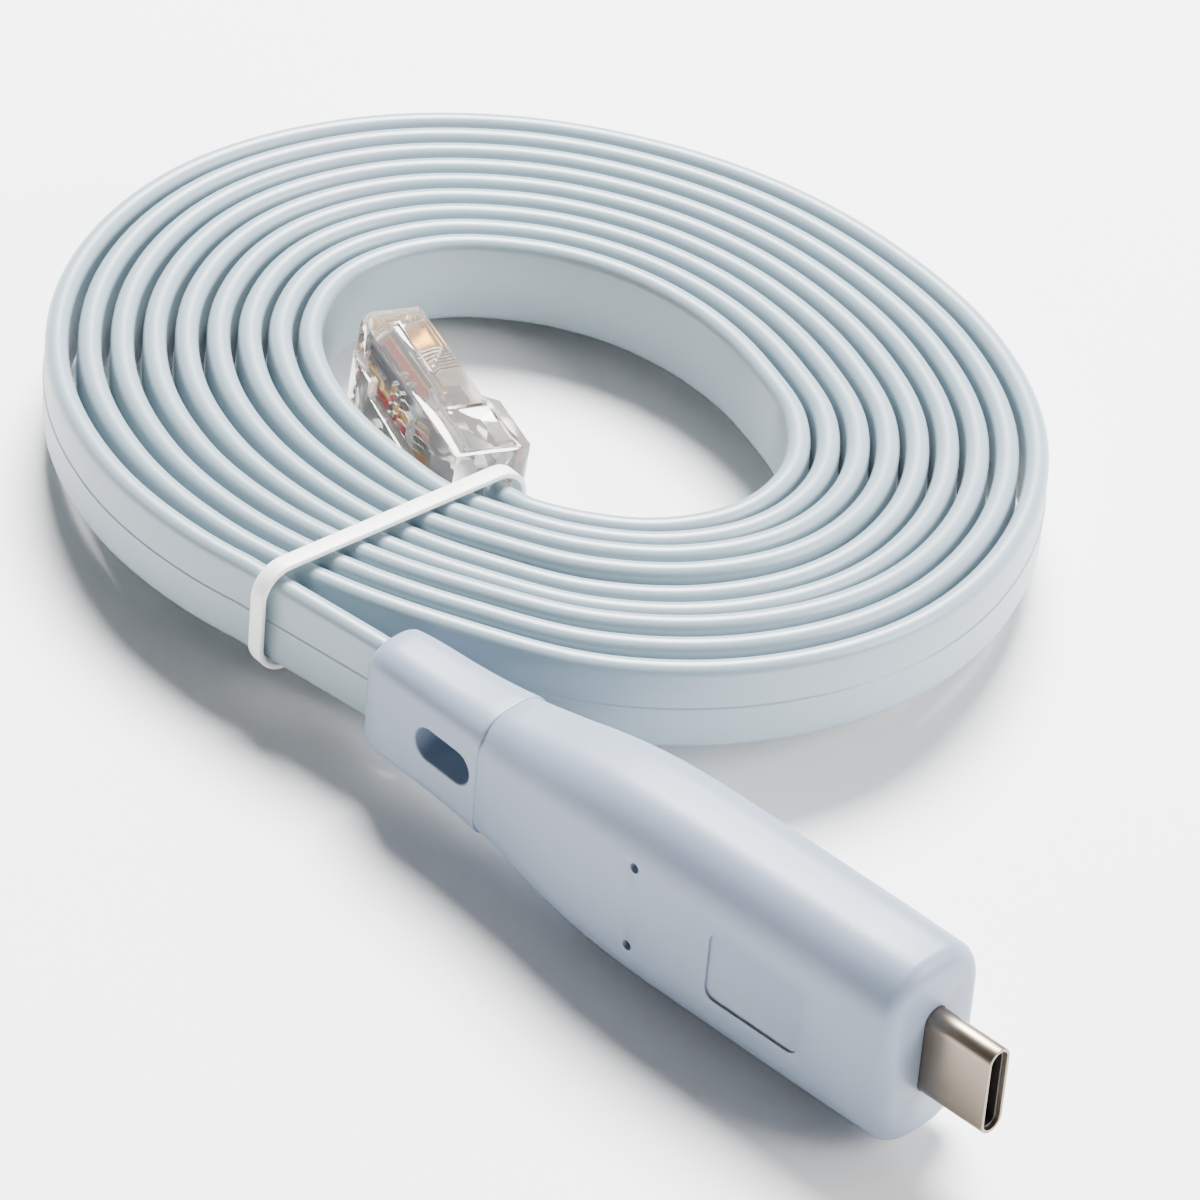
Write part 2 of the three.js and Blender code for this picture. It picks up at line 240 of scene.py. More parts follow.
@dataclass(frozen=True)
class Metal:
    """A plated metal: one reflectance and a roughness that wanders a little.

    Attributes:
        name: What the material is.
        colour: Its sRGB hex reflectance.
        roughness: How matt it is.
        smear_mm: Size of the patches in its gloss.
        smear_depth: How deep the patches look, in metres.
        gloss_change: How far its roughness wanders either way.
    """

    name: str
    colour: str
    roughness: float
    smear_mm: float = 2.5
    smear_depth: float = 0.00002
    gloss_change: float = 0.07

    def make(self) -> bpy.types.Material:
        """Build the material.

        Returns:
            The node-based material.
        """
        material = bpy.data.materials.new(self.name)
        material.use_nodes = True
        tree = material.node_tree
        shader = tree.nodes["Principled BSDF"]
        shader.inputs["Base Color"].default_value = linear(self.colour)
        shader.inputs["Metallic"].default_value = 1.0
        place = add_node(tree, "ShaderNodeTexCoord").outputs["Object"]
        smear_scale = 1 / (self.smear_mm * MM)
        smear = add_node(tree, "ShaderNodeTexNoise", Vector=place, Scale=smear_scale, Detail=4.0)
        gloss = add_node(tree, "ShaderNodeMapRange", Value=smear.outputs["Fac"])
        gloss.inputs["To Min"].default_value = self.roughness - self.gloss_change
        gloss.inputs["To Max"].default_value = self.roughness + self.gloss_change
        tree.links.new(gloss.outputs["Result"], shader.inputs["Roughness"])
        height = smear.outputs["Fac"]
        bump = add_node(tree, "ShaderNodeBump", Height=height, Distance=self.smear_depth, Strength=1.0)
        tree.links.new(bump.outputs["Normal"], shader.inputs["Normal"])
        return material


@dataclass(frozen=True)
class ClearPlastic:
    """A clear moulded plastic with a slightly warm tint and faint flow haze.

    Attributes:
        name: What the material is.
        tint: Its sRGB hex tint.
        roughness: Its surface haze.
        ior: Its index of refraction.
        clarity: The share of light that goes through it and isn't scattered.
        haze_mm: Size of the patches in its haze.
        haze_change: How far its roughness wanders either way.
    """

    name: str
    tint: str
    roughness: float
    ior: float
    clarity: float
    haze_mm: float = 3.0
    haze_change: float = 0.03

    def make(self) -> bpy.types.Material:
        """Build the material.

        Returns:
            The node-based material.
        """
        material = bpy.data.materials.new(self.name)
        material.use_nodes = True
        tree = material.node_tree
        shader = tree.nodes["Principled BSDF"]
        shader.inputs["Base Color"].default_value = linear(self.tint)
        shader.inputs["Transmission Weight"].default_value = self.clarity
        shader.inputs["IOR"].default_value = self.ior
        place = add_node(tree, "ShaderNodeTexCoord").outputs["Object"]
        haze_scale = 1 / (self.haze_mm * MM)
        haze = add_node(tree, "ShaderNodeTexNoise", Vector=place, Scale=haze_scale, Detail=3.0)
        gloss = add_node(tree, "ShaderNodeMapRange", Value=haze.outputs["Fac"])
        gloss.inputs["To Min"].default_value = max(self.roughness - self.haze_change, 0.0)
        gloss.inputs["To Max"].default_value = self.roughness + self.haze_change
        tree.links.new(gloss.outputs["Result"], shader.inputs["Roughness"])
        return material


# Extruded plasticised PVC: satin, softly shining along the rounded edges
JACKET = Plastic("jacket_extruded_pvc", "8b9ba4", "8697a0", 0.34, mottle_mm=22.0, subsurface=0.08)
# Injection-moulded PVC over the adapter: the same blue-grey, a touch more violet and more matt
OVERMOULD = Plastic("overmould_pvc", "808da0", "7c899c", 0.44, grain_mm=0.25, subsurface=0.08)
# Soft white extruded strip: even and slightly waxy
TIE_STRIP = Plastic("tie_white_elastomer", "f7f6f2", "f1f0ec", 0.42, subsurface=0.15)
# Moulded liquid-crystal polymer: black with a dull sheen
LINER = Plastic("liner_black_lcp", "131315", "0e0e10", 0.5, ior=1.6)
# Nickel plating on the folded steel shell: warm grey, soft reflections
NICKEL = Metal("shell_nickel_plate", "857a6d", 0.34)
# Hard gold flash over the bronze blades
GOLD = Metal("contact_gold_plate", "d09a30", 0.28)
# Moulded polycarbonate: clear, faintly warm
POLYCARBONATE = ClearPlastic("plug_polycarbonate", "fffaf4", 0.04, 1.585, 0.94)


class CoreColour(Enum):
    """Insulation of the eight conductors from the plug's foot upwards: matt extruded PVC."""

    SLATE = "7d8796"
    ORANGE = "c8743a"
    GREEN = "5f8a58"
    BLACK = "3b393f"
    RED = "c23a48"
    YELLOW = "d9a638"
    BROWN = "6b5a60"
    GREY = "584e58"

    def finish(self) -> bpy.types.Material:
        """Return the insulation's material in this colour."""
        return Plastic(f"core_pvc_{self.name.lower()}", self.value, self.value, 0.42).make()


# Modelling helpers


def only(piece: bpy.types.Object) -> None:
    """Make a piece the only selected and the active object.

    Args:
        piece: The object.
    """
    for other in bpy.context.scene.objects:
        other.select_set(False)
    piece.select_set(True)
    bpy.context.view_layer.objects.active = piece


def start(name: str) -> bpy.types.Object:
    """Name the primitive that was just added and leave it in edit mode with nothing selected.

    Args:
        name: The piece's name.

    Returns:
        The object.
    """
    piece = bpy.context.active_object
    piece.name = name
    piece.data.name = name
    only(piece)
    return piece


def pick(piece: bpy.types.Object, part: str, test: Callable[[Vector], bool]) -> int:
    """Select faces, edges or vertices by where their middle is, and go to edit mode.

    Args:
        piece: The object.
        part: "FACE", "EDGE" or "VERT".
        test: Says of a middle point in the piece's own millimetres whether it is wanted.

    Returns:
        How many were selected.
    """
    if piece.mode != "OBJECT":
        bpy.ops.object.mode_set(mode="OBJECT")
    mesh = piece.data
    for group in (mesh.polygons, mesh.edges, mesh.vertices):
        for item in group:
            item.select = False
    found = 0
    if part == "FACE":
        for face in mesh.polygons:
            face.select = test(face.center)
            found += face.select
    elif part == "EDGE":
        for edge in mesh.edges:
            a, b = (mesh.vertices[i].co for i in edge.vertices)
            edge.select = test((a + b) / 2)
            found += edge.select
    else:
        for vertex in mesh.vertices:
            vertex.select = test(vertex.co)
            found += vertex.select
    bpy.ops.object.mode_set(mode="EDIT")
    bpy.ops.mesh.select_mode(type=part)
    return found


def done(piece: bpy.types.Object) -> bpy.types.Object:
    """Leave edit mode with doubles merged and the faces pointing outwards.

    Args:
        piece: The object.

    Returns:
        The same object.
    """
    only(piece)
    if piece.mode != "EDIT":
        bpy.ops.object.mode_set(mode="EDIT")
    bpy.ops.mesh.select_all(action="SELECT")
    bpy.ops.mesh.remove_doubles(threshold=0.001)
    bpy.ops.mesh.normals_make_consistent(inside=False)
    bpy.ops.object.mode_set(mode="OBJECT")
    return piece


def cut(piece: bpy.types.Object, cutter: bpy.types.Object, join: bool = False) -> None:
    """Cut a piece with another shape, or join the two, and drop the cutter.

    Args:
        piece: The piece that stays.
        cutter: The shape that is used up.
        join: True to join it on instead of cutting it out.
    """
    only(piece)
    change = piece.modifiers.new("cut", "BOOLEAN")
    change.operation = "UNION" if join else "DIFFERENCE"
    change.solver = "EXACT"
    change.object = cutter
    bpy.ops.object.modifier_apply(modifier=change.name)
    bpy.data.objects.remove(cutter, do_unlink=True)


def soften(piece: bpy.types.Object, width: float, segments: int = 2, angle: float = 40.0) -> None:
    """Round the sharp edges of a piece.

    Args:
        piece: The object.
        width: Width of the rounding in millimetres.
        segments: Faces across it.
        angle: Edges sharper than this many degrees are rounded.
    """
    only(piece)
    change = piece.modifiers.new("edges", "BEVEL")
    change.width = width
    change.segments = segments
    change.limit_method = "ANGLE"
    change.angle_limit = math.radians(angle)
    change.use_clamp_overlap = True
    bpy.ops.object.modifier_apply(modifier=change.name)


def soften_where(
    piece: bpy.types.Object,
    width: float,
    segments: int,
    wanted: Callable[[Vector], bool],
) -> None:
    """Round only the sharp edges that lie in a wanted place.

    Args:
        piece: The object.
        width: Width of the rounding in millimetres.
        segments: Faces across it.
        wanted: Says of an edge's middle whether it is rounded.
    """
    only(piece)
    bpy.ops.object.mode_set(mode="EDIT")
    bpy.ops.mesh.select_mode(type="EDGE")
    bpy.ops.mesh.select_all(action="DESELECT")
    bpy.ops.mesh.edges_select_sharp(sharpness=math.radians(50.0))
    bpy.ops.object.mode_set(mode="OBJECT")
    mesh = piece.data
    for edge in mesh.edges:
        a, b = (mesh.vertices[i].co for i in edge.vertices)
        edge.select = edge.select and wanted((a + b) / 2)
    bpy.ops.object.mode_set(mode="EDIT")
    bpy.ops.mesh.bevel(offset=width, segments=segments, affect="EDGES", clamp_overlap=True)
    bpy.ops.object.mode_set(mode="OBJECT")


def lay(
    piece: bpy.types.Object,
    lie: Lie,
    finish: bpy.types.Material,
    smooth: float = 35.0,
) -> bpy.types.Object:
    """Put a finished piece in its place, with its material and its smooth shading.

    Args:
        piece: The piece, drawn in millimetres in its own frame.
        lie: The frame it was drawn in.
        finish: Its material.
        smooth: Edges flatter than this many degrees are shaded smooth.

    Returns:
        The same object, at the origin and unscaled.
    """
    only(piece)
    piece.matrix_world = FRAMES.on_floor(lie)
    bpy.ops.object.transform_apply(location=True, rotation=True, scale=True)
    piece.data.materials.clear()
    piece.data.materials.append(finish)
    bpy.ops.object.shade_smooth_by_angle(angle=math.radians(smooth))
    return piece


def rounded_plate(
    name: str,
    at: float,
    half_side: float,
    half_up: float,
    radius: float,
    steps: int,
) -> bpy.types.Object:
    """Start a body with a rounded rectangle across X.

    Args:
        name: The piece's name.
        at: Its place along X.
        half_side: Half its size along Y.
        half_up: Half its size along Z.
        radius: Its corners' radius.
        steps: Faces round each corner.

    Returns:
        The object, in edit mode with the plate selected.
    """
    bpy.ops.mesh.primitive_plane_add(size=1.0, location=(at, 0, 0), rotation=(0, math.pi / 2, 0))
    piece = start(name)
    bpy.ops.object.transform_apply(location=True, rotation=True, scale=True)
    bpy.ops.object.mode_set(mode="EDIT")
    bpy.ops.mesh.select_all(action="SELECT")
    bpy.ops.transform.resize(value=(1, 2 * half_side, 2 * half_up), center_override=(at, 0, 0))
    bpy.ops.mesh.bevel(offset=radius, offset_type="OFFSET", segments=steps, affect="VERTICES")
    bpy.ops.mesh.select_mode(type="FACE")
    bpy.ops.mesh.select_all(action="SELECT")
    return piece


def draw_out(at: float, to: float, side: float = 1.0, up: float = 1.0) -> None:
    """Extrude the selected end face along X and scale it about the X axis.

    Args:
        at: Where the face is.
        to: Where it goes.
        side: Its new size along Y over the old.
        up: Its new size along Z over the old.
    """
    bpy.ops.mesh.extrude_region_move(TRANSFORM_OT_translate={"value": (to - at, 0, 0)})
    if (side, up) != (1.0, 1.0):
        bpy.ops.transform.resize(value=(1, side, up), center_override=(to, 0, 0))


def block(name: str, low: Sequence[float], high: Sequence[float]) -> bpy.types.Object:
    """Add a box between two corners.

    Args:
        name: The piece's name.
        low: Its lowest corner.
        high: Its highest corner.

    Returns:
        The object.
    """
    middle = [(a + b) / 2 for a, b in zip(low, high)]
    size = [b - a for a, b in zip(low, high)]
    bpy.ops.mesh.primitive_cube_add(size=1.0, location=middle, scale=size)
    piece = start(name)
    bpy.ops.object.transform_apply(location=True, rotation=True, scale=True)
    return piece


def pin(
    name: str,
    radius: float,
    length: float,
    middle: Sequence[float],
    axis: str,
    sides: int,
) -> bpy.types.Object:
    """Add a round rod.

    Args:
        name: The piece's name.
        radius: Its radius.
        length: Its length.
        middle: Its middle.
        axis: "X" or "Y", the way it lies.
        sides: Faces round it.

    Returns:
        The object.
    """
    turn = (0, math.pi / 2, 0) if axis == "X" else (math.pi / 2, 0, 0)
    bpy.ops.mesh.primitive_cylinder_add(
        vertices=sides, radius=radius, depth=length, location=middle, rotation=turn
    )
    piece = start(name)
    bpy.ops.object.transform_apply(location=True, rotation=True, scale=True)
    return piece


def keep(piece: bpy.types.Object, slot: str, *nodes: str) -> None:
    """Ride a finished piece on the object and hide the CAD nodes that it stands for.

    Args:
        piece: The piece.
        slot: The record's material slot; not used.
        *nodes: The CAD nodes that it replaces.
    """
    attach(piece, "root")
    if nodes:
        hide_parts(*nodes)
    LOG.info("%s: %d faces", piece.name, len(piece.data.polygons))


# The cable


def through(points: Sequence[Vector], i: int, t: float) -> Vector:
    """Give a point on the smooth curve through a list of points.

    Args:
        points: The points.
        i: The span, from point i to the next.
        t: The share of that span, 0 to 1.

    Returns:
        The point.
    """
    last = len(points) - 1
    a, b, c, d = (points[min(max(k, 0), last)] for k in (i - 1, i, i + 1, i + 2))
    into = (c - a) * 0.5
    out = (d - b) * 0.5
    cubed = (b - c) * 2 + into + out
    squared = (c - b) * 3 - into * 2 - out
    return cubed * t**3 + squared * t**2 + into * t + b


@dataclass
class FlatCable:
    """The flat cable from the plug through the wound turns to the adapter, in millimetres."""

    width: float = 8.2
    thickness: float = 2.1
    drawn_thickness: float = 1.98
    edge: float = 0.95
    ridge: float = 0.09
    ridge_half_width: float = 0.2
    front_angle: float = -75.0
    start_angle: float = -100.0
    angle_step: float = 20.0
    turns: int = 9
    outer_turn_end: float = 230.0
    rings_per_turn: int = 144
    steps_per_span: int = 4
    corner_steps: int = 6
    rolled_points: int = 16
    unrolling_points: int = 6
    insertion: float = 8.3
    inner: tuple[float, ...] = (
        14.1, 15.8, 18.1, 19.8, 20.0, 18.9, 17.3, 17.0, 17.6,
        19.0, 20.9, 22.9, 23.3, 21.4, 18.4, 16.1, 15.1, 15.6,
    )
    outer: tuple[float, ...] = (
        33.9, 37.0, 39.7, 41.6, 41.8, 41.1, 39.6, 38.4, 38.6,
        39.7, 41.7, 43.8, 45.1, 44.6, 42.8, 40.1, 37.4, 35.6,
    )
    rises: tuple[float, ...] = (0.1, 0.4, 0.8, 0.8, 0.2, 0.3, 0.8, 0.4, -0.1, 0.0)

    def __post_init__(self) -> None:
        """Run the coil's inner and outer reach on by a pitch at both ends."""
        last = len(self.inner) - 1
        pairs = [Vector((a, b)) for a, b in zip(self.inner, self.outer)]
        before = pairs[last] - Vector((1, 1)) * self._pitch(pairs[last])
        after = [pairs[i] + Vector((1, 1)) * self._pitch(pairs[i]) for i in (0, 1)]
        self._reach = [before, *pairs, *after]

    def _pitch(self, pair: Vector) -> float:
        """Return the step from turn to turn where the inner and outer reach are given."""
        return (pair.y - pair.x - self.thickness) / (self.turns - 1)

    def radius(self, angle: float, turn: float) -> float:
        """Give the cable's middle line's distance from the coil's centre.

        Args:
            angle: Degrees round the coil.
            turn: Which turn.

        Returns:
            The distance.
        """
        span = (angle - self.start_angle) / self.angle_step + 1
        pair = through(self._reach, int(span), span - int(span))
        return pair.x + turn * self._pitch(pair) + self.thickness / 2

    def rise(self, angle: float, turn: int) -> float:
        """Give how far a turn stands up where the turns pass the coil's front at uneven heights.

        Args:
            angle: Degrees round the coil.
            turn: Which turn.

        Returns:
            The height over the other turns.
        """
        share = max(0.0, math.cos(math.radians(angle - self.front_angle))) ** 2
        passing = turn if angle < self.front_angle + 180.0 else turn + 1
        return share * self.rises[passing]

    def at(self, angle: float, turn: int) -> Vector:
        """Return the middle line's point at an angle of one turn."""
        reach = self.radius(angle, turn)
        around = math.radians(angle)
        height = self.width / 2 + self.rise(angle, turn)
        return Vector((reach * math.cos(around), reach * math.sin(around), height))

    def lead(self) -> list[Vector]:
        """Return the given points from inside the plug to the first turn."""
        plug = FRAMES.inside_coil(Lie.PLUG)
        inside = [plug @ Vector((x, 0, 0)) for x in (self.insertion, self.insertion / 2, 0.0)]
        return [*inside, Vector((-4.48, -12.17, 3.7)), Vector((-3.75, -13.6, 4.0))]

    def tail(self) -> list[Vector]:
        """Return the points from the last turn to just inside the adapter's boot."""
        adapter = FRAMES.inside_coil(Lie.ADAPTER)
        return [adapter @ Vector((x, 0, 0)) for x in (0.0, 2.0, 4.0)]

    def route(self) -> list[Vector]:
        """Compute the middle line from the plug to the adapter.

        Returns:
            Its points in the coil's frame.
        """
        step = 360.0 / self.rings_per_turn
        wound = []
        for turn in range(self.turns):
            stop = self.start_angle + 360.0 if turn < self.turns - 1 else self.outer_turn_end
            angle = self.start_angle + (2 * step if turn == 0 else 0.0)
            while angle < stop - 1e-6:
                wound.append(self.at(angle, turn))
                angle += step
        ends = [*self.lead(), wound[0], wound[1]]
        steps = self.steps_per_span
        smooth = [through(ends, i, t / steps) for i in range(len(ends) - 2) for t in range(steps)]
        finish = [wound[-2], wound[-1], *self.tail()]
        away = [through(finish, i, t / steps) for i in range(1, len(finish) - 1) for t in range(steps)]
        return [*smooth, *wound[:-1], *away, finish[-1]]

    def outline(self) -> list[tuple[float, float]]:
        """Compute the cable's section: rounded edges and a fine ridge along the outer broad face.

        Returns:
            Points across the thickness and along the width.
        """
        half_side, half_up = self.drawn_thickness / 2, self.width / 2
        points = []
        for sign_side, sign_up, begin in ((1, 1, 0), (-1, 1, 90), (-1, -1, 180), (1, -1, 270)):
            for i in range(self.corner_steps + 1):
                angle = math.radians(begin + 90 * i / self.corner_steps)
                points.append((
                    sign_side * (half_side - self.edge) + self.edge * math.cos(angle),
                    sign_up * (half_up - self.edge) + self.edge * math.sin(angle),
                ))
            if begin == 270:
                foot, top = self.ridge_half_width, self.ridge_half_width / 3
                crest = half_side + self.ridge
                points += [(half_side, -foot), (crest, -top), (crest, top), (half_side, foot)]
        return points

    def build(self, finish: bpy.types.Material) -> tuple[bpy.types.Object, list[Vector]]:
        """Sweep the section along the route as one tube.

        Args:
            finish: The jacket's material.

        Returns:
            The cable and its middle line's points in metres.
        """
        points = self.route()
        bpy.ops.object.select_all(action="DESELECT")
        section_data = bpy.data.curves.new("cable_section", "CURVE")
        section_data.dimensions = "2D"
        shape = self.outline()
        loop = section_data.splines.new("POLY")
        loop.points.add(len(shape) - 1)
        for point, (side, up) in zip(loop.points, shape):
            point.co = (side, up, 0, 1)
        loop.use_cyclic_u = True
        section = bpy.data.objects.new("cable_section", section_data)
        data = bpy.data.curves.new("cable", "CURVE")
        data.dimensions = "3D"
        data.twist_mode = "Z_UP"
        data.bevel_mode = "OBJECT"
        data.bevel_object = section
        data.use_fill_caps = True
        line = data.splines.new("POLY")
        line.points.add(len(points) - 1)
        roll = math.radians(FRAMES.plug_roll)
        for i, (point, place) in enumerate(zip(line.points, points)):
            point.co = (*place, 1)
            share = (self.rolled_points - i) / self.unrolling_points
            point.tilt = -roll * min(1.0, max(0.0, share))
        cable = bpy.data.objects.new("cable", data)
        bpy.context.collection.objects.link(section)
        bpy.context.collection.objects.link(cable)
        only(cable)
        bpy.ops.object.convert(target="MESH")
        cable = bpy.context.active_object
        bpy.data.objects.remove(section, do_unlink=True)
        done(cable)
        lay(cable, Lie.COIL, finish, 30.0)
        floor = FRAMES.on_floor(Lie.COIL)
        return cable, [floor @ point for point in points]


@dataclass
class CableTie:
    """The thin flat strip closed round the turns beside the plug, in millimetres."""

    width: float = 1.6
    thickness: float = 0.5
    play: float = 0.6
    end_play: float = 0.9
    bend: float = 2.4
    outer_angle: float = 233.3

    def build(self, cable: FlatCable, finish: bpy.types.Material) -> bpy.types.Object:
        """Model the strip as a band round the turns.

        Args:
            cable: The cable that it holds.
            finish: Its material.

        Returns:
            The tie.
        """
        outer = cable.at(self.outer_angle, cable.turns - 1)
        lead = cable.lead()
        inner = (lead[-2] + lead[-1]) / 2
        inner.z = outer.z
        span = inner - outer
        half_length = span.length / 2 + cable.thickness / 2 + self.end_play
        half_height = cable.width / 2 + self.play
        bpy.ops.mesh.primitive_plane_add(size=1.0, rotation=(math.pi / 2, 0, 0))
        tie = start("cable_tie_strip")
        bpy.ops.object.transform_apply(location=True, rotation=True, scale=True)
        bpy.ops.object.mode_set(mode="EDIT")
        bpy.ops.mesh.select_all(action="SELECT")
        outside = (2 * (half_length + self.thickness), 1, 2 * (half_height + self.thickness))
        bpy.ops.transform.resize(value=outside)
        radius = self.bend + self.thickness
        bpy.ops.mesh.bevel(offset=radius, offset_type="OFFSET", segments=16, affect="VERTICES")
        bpy.ops.mesh.select_mode(type="FACE")
        bpy.ops.mesh.select_all(action="SELECT")
        bpy.ops.mesh.inset(thickness=self.thickness)
        bpy.ops.mesh.delete(type="FACE")
        bpy.ops.mesh.select_all(action="SELECT")
        bpy.ops.mesh.extrude_region_move(TRANSFORM_OT_translate={"value": (0, self.width, 0)})
        bpy.ops.mesh.select_all(action="SELECT")
        bpy.ops.transform.translate(value=(0, -self.width / 2, 0))
        done(tie)
        soften(tie, 0.16, 3, 50.0)
        bearing = math.atan2(span.y, span.x)
        turn = Matrix.Translation((outer + inner) / 2) @ Matrix.Rotation(bearing, 4, "Z")
        tie.data.transform(turn)
        return lay(tie, Lie.COIL, finish, 30.0)


# The adapter


@dataclass
class Adapter:
    """The overmoulded USB-C adapter with its boot, drawn along X from the boot's back."""

    length: float = 61.4
    seam: float = 15.8
    seam_gap: float = 0.02
    nose: float = 1.6
    boot_from: float = 2.0
    back: float = 1.0
    corner: float = 0.8
    corner_steps: int = 10
    waist_from: float = 17.5
    waist_step: float = 1.5
    waist_sections: int = 10
    slot_at: float = 11.6
    slot_up: float = 0.2
    slot_length: float = 6.4
    slot_height: float = 3.0
    indicator_at: float = 34.3
    indicator_spacing: float = 7.8
    indicator_diameter: float = 0.9
    indicator_depth: float = 1.2
    shell_play: float = 0.05
    shell_pocket: float = 1.0
    label_from: float = 42.6
    label_to: float = 52.5
    label_top: float = 2.9
    label_bottom: float = -3.7
    label_corner: float = 1.0
    label_depth: float = 0.25
    profile: tuple[tuple[float, float, float], ...] = (
        (0, 5.2, 2.9), (5, 5.5, 3.2), (10, 5.6, 3.4), (15, 6.0, 3.8), (20, 6.8, 4.4),
        (25, 7.8, 5.0), (30, 8.5, 5.3), (36, 8.8, 5.4), (61.4, 8.9, 5.4),
    )

    def section(self, x: float) -> tuple[float, float]:
        """Give the body's half height and half thickness at a distance from its back.

        Args:
            x: The distance.

        Returns:
            Half height and half thickness.
        """
        rows = [Vector(row) for row in self.profile]
        i = max(k for k in range(len(rows) - 1) if rows[k].x <= x)
        t = (x - rows[i].x) / (rows[i + 1].x - rows[i].x)
        found = through(rows, i, t)
        return found.y, found.z

    def body(self, name: str, stations: Sequence[tuple[float, float]]) -> bpy.types.Object:
        """Draw a body out through rounded sections.

        Args:
            name: The piece's name.
            stations: Distance along X and how far the outline is stepped in there.

        Returns:
            The body.
        """
        sizes = []
        for x, inset in stations:
            up, side = self.section(x)
            sizes.append((x, side - inset, up - inset))
        x, side, up = sizes[0]
        piece = rounded_plate(name, x, side, up, self.corner * side, self.corner_steps)
        for (x0, side0, up0), (x1, side1, up1) in zip(sizes, sizes[1:]):
            draw_out(x0, x1, side1 / side0, up1 / up0)
        return done(piece)

    def rounding(self, at: float, radius: float, inward: int) -> list[tuple[float, float]]:
        """Return stations that round an end off, from the body outwards."""
        found = []
        for i in range(1, 7):
            angle = math.pi / 2 * i / 6
            found.append((at + inward * radius * (1 - math.sin(angle)), radius * (1 - math.cos(angle))))
        return found

    def build_boot(self, finish: bpy.types.Material) -> bpy.types.Object:
        """Model the strain-relief boot with the slot through it.

        Args:
            finish: Its material.

        Returns:
            The boot.
        """
        ends = list(reversed(self.rounding(self.boot_from, self.back, 1)))
        last = self.seam - self.seam_gap / 2
        middle = [(x, 0.0) for x in (4.0, 5.0, 6.0, 8.0, 10.0, 12.0, 14.0, last)]
        boot = self.body("boot", [*ends, *middle])
        through_boot = 8.0
        half_length, half_height = self.slot_length / 2, self.slot_height / 2
        window = rounded_plate("window", -through_boot, half_length, half_height, half_height - HAIR, 8)
        draw_out(-through_boot, through_boot)
        done(window)
        window.data.transform(Matrix.Translation((self.slot_at, 0, self.slot_up)) @ turned("Z", 90))
        cut(boot, window)
        soften_where(boot, 0.3, 4, lambda middle: middle.x < self.seam - 0.5)
        return lay(boot, Lie.ADAPTER, finish)

    def build_housing(self, finish: bpy.types.Material) -> bpy.types.Object:
        """Model the housing with its indicator holes, its label recess and the shell's pocket.

        Args:
            finish: Its material.

        Returns:
            The housing.
        """
        first = self.seam + self.seam_gap / 2
        waist = [self.waist_from + self.waist_step * i for i in range(self.waist_sections)]
        middle = [(x, 0.0) for x in (first, *waist, 33.0, 36.0, 45.0, 54.0)]
        housing = self.body("housing", [*middle, *self.rounding(self.length, self.nose, -1)])
        face = -self.section(self.indicator_at)[1]
        for side in (-1, 1):
            place = (self.indicator_at, face, side * self.indicator_spacing / 2)
            hole = pin("hole", self.indicator_diameter / 2, 2 * self.indicator_depth, place, "Y", 24)
            cut(housing, hole)
        half_length = (self.label_to - self.label_from) / 2
        half_height = (self.label_top - self.label_bottom) / 2
        panel = rounded_plate("panel", -self.label_depth, half_length, half_height, self.label_corner, 5)
        draw_out(-self.label_depth, self.label_depth)
        done(panel)
        middle_up = (self.label_top + self.label_bottom) / 2
        label_face = -self.section(self.label_from)[1]
        place = Vector(((self.label_from + self.label_to) / 2, label_face, middle_up))
        panel.data.transform(Matrix.Translation(place) @ turned("Z", 90))
        cut(housing, panel)
        side, up = UsbPlug.height / 2, UsbPlug.width / 2
        play, bottom = self.shell_play, self.length - self.shell_pocket
        pocket = rounded_plate("pocket", bottom, side + play, up + play, side, 8)
        draw_out(bottom, self.length + self.shell_pocket)
        done(pocket)
        cut(housing, pocket)
        soften_where(housing, 0.1, 2, lambda middle: middle.x > self.seam + 0.5)
        return lay(housing, Lie.ADAPTER, finish)


